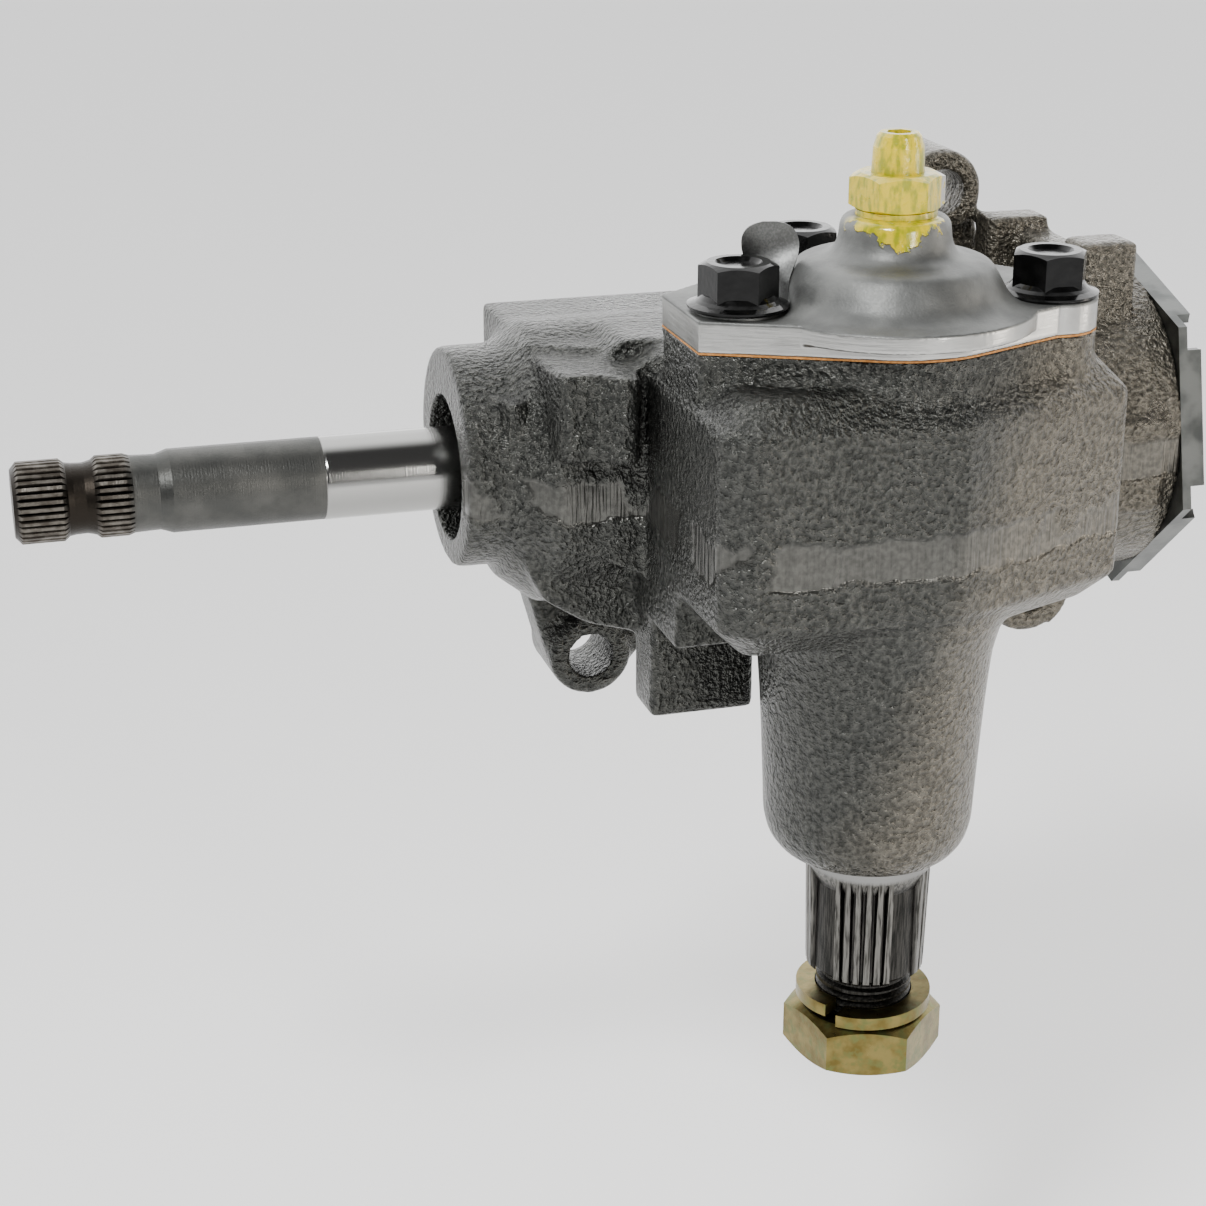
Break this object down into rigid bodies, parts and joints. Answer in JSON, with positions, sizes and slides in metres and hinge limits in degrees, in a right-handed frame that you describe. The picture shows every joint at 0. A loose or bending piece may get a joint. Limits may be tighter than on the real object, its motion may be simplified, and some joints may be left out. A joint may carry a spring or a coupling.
{
  "type": "steering gearbox",
  "caption": "Right-angle recirculating-ball steering gearbox: splined worm input shaft, splined sector output shaft, cast housing with mounting lugs.",
  "frame": {"origin": "on the rear mounting plane of the three lugs, level with the worm axis and in line with the sector axis", "axes": "+X along the worm away from the input shaft, +Y out of the mounting plane towards the frame rail, +Z along the sector shaft towards the adjuster"},
  "size_m": [0.2728, 0.1305, 0.2153],
  "materials": {
    "cast_iron": "rough sand-cast iron, oiled",
    "cover_aluminium": "die-cast aluminium with a machined edge",
    "gasket": "oiled brown gasket paper",
    "black_steel": "glossy black oxide",
    "strip_aluminium": "dull plain strip",
    "bronze": "plain bearing bronze",
    "seal_rubber": "black rubber",
    "shaft_steel": "dark splined steel",
    "zinc_yellow": "yellow zinc plating",
    "adjuster_steel": "steel under yellow marking paint",
    "bearing_steel": "ground bearing steel",
    "worm_steel": "grey phosphated steel with a ground band",
    "stamped_steel": "satin stamped steel",
    "plug_steel": "dark machined steel"
  },
  "bodies": {
    "casing": {"gear_housing": "cast_iron", "side_cover": "cover_aluminium", "side_cover_gasket": "gasket", "cover_bolts": "black_steel", "identification_strip": "strip_aluminium", "side_cover_bushing": "bronze", "upper_housing_bushing": "bronze", "lower_housing_bushing": "bronze", "sector_shaft_seal": "seal_rubber", "worm_shaft_seal": "seal_rubber", "adjuster_lock_nut": "adjuster_steel", "upper_bearing_cup": "bearing_steel", "worm_adjuster_lock_nut": "stamped_steel"},
    "worm": {"worm_shaft": "worm_steel", "worm_end_race": "bearing_steel"},
    "nut": {"ball_nut": "worm_steel", "circuit_balls": "bearing_steel", "front_ball_guide": "stamped_steel", "rear_ball_guide": "stamped_steel", "guide_clamp": "stamped_steel", "guide_clamp_screws": "black_steel"},
    "sector": {"sector_shaft": "shaft_steel", "arm_nut": "zinc_yellow", "arm_lock_washer": "zinc_yellow"},
    "adjuster": {"lash_adjuster_screw": "adjuster_steel", "lash_adjuster_shim": "bearing_steel"},
    "plug": {"worm_adjuster_plug": "plug_steel", "lower_bearing_cup": "bearing_steel", "lower_bearing_retainer": "stamped_steel"},
    "upper_bearing": {"upper_bearing_balls": "bearing_steel", "upper_bearing_cage": "bronze"},
    "lower_bearing": {"lower_bearing_balls": "bearing_steel", "lower_bearing_cage": "bronze"}
  },
  "joints": [
    {"name": "worm_spin", "type": "hinge", "parent": "casing", "child": "worm", "pos_m": [0, -0.042, 0], "axis": [1, 0, 0], "range_deg": [-912, 912]},
    {"name": "nut_slide", "type": "slide", "parent": "casing", "child": "nut", "axis": [1, 0, 0], "range_m": [-0.0228, 0.0228]},
    {"name": "sector_turn", "type": "hinge", "parent": "casing", "child": "sector", "pos_m": [0, -0.1, 0], "axis": [0, 0, 1], "range_deg": [-38.5, 38.5]},
    {"name": "upper_bearing_turn", "type": "hinge", "parent": "casing", "child": "upper_bearing", "pos_m": [0, -0.042, 0], "axis": [1, 0, 0], "range_deg": [-369.8, 369.8]},
    {"name": "lower_bearing_turn", "type": "hinge", "parent": "casing", "child": "lower_bearing", "pos_m": [0, -0.042, 0], "axis": [1, 0, 0], "range_deg": [-369.8, 369.8]},
    {"name": "lash_adjuster_turn", "type": "hinge", "parent": "casing", "child": "adjuster", "pos_m": [0, -0.1, 0], "axis": [0, 0, 1], "range_deg": [-90, 90]},
    {"name": "worm_adjuster_turn", "type": "hinge", "parent": "casing", "child": "plug", "pos_m": [0, -0.042, 0], "axis": [1, 0, 0], "range_deg": [-30, 30]}
  ],
  "couplings": [
    {"joint": "nut_slide", "follows": "worm_spin", "m_per_rad": -0.0014166},
    {"joint": "sector_turn", "follows": "worm_spin", "ratio": 0.041666},
    {"joint": "upper_bearing_turn", "follows": "worm_spin", "ratio": 0.4},
    {"joint": "lower_bearing_turn", "follows": "worm_spin", "ratio": 0.4}
  ]
}
